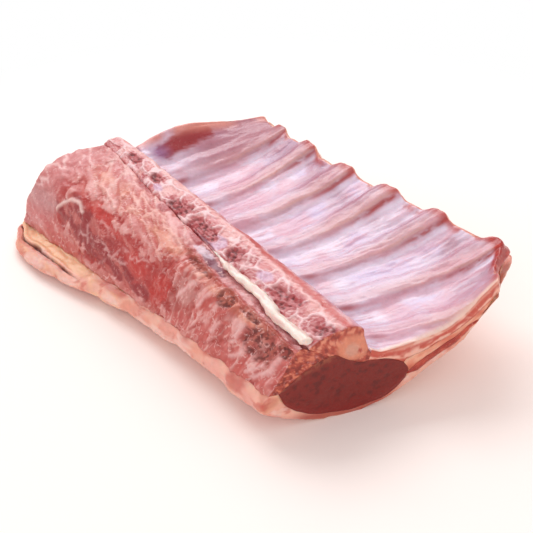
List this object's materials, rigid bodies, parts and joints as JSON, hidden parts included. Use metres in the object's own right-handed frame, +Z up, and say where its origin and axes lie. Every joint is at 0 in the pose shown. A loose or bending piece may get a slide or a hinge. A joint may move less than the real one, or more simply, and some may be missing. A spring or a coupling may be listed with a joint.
{
  "type": "raw rack of lamb",
  "caption": "Raw lamb rack, unfrenched, with chine bone, fat cap and rib wall, lying fat side down with the inner side of the ribs up.",
  "frame": {"origin": "centre of the footprint, on the surface the rack rests on", "axes": "+Y along the spine from the loin cut to the shoulder cut, +Z up; the ribs run from the spine towards +X"},
  "size_m": [0.1689, 0.2334, 0.0538],
  "materials": {
    "eye_muscle": "raw lean meat, moist, fine grain",
    "fat": "raw lamb fat, peach to cream, soft",
    "red_meat": "raw red meat with pale marbling, moist",
    "rib_membrane": "shiny wet membrane over ribs, lilac white to dusty rose",
    "bone": "sawn bone and cartilage, pink white with red marrow",
    "cord": "cream, wet"
  },
  "bodies": {
    "root": {"eye_muscle": "eye_muscle", "fat_cap": "fat", "seam_fat": "fat", "cap_muscle": "red_meat", "rib_wall": "rib_membrane", "vertebrae": "bone", "back_strip": "red_meat", "spinal_cord": "cord"}
  },
  "joints": []
}
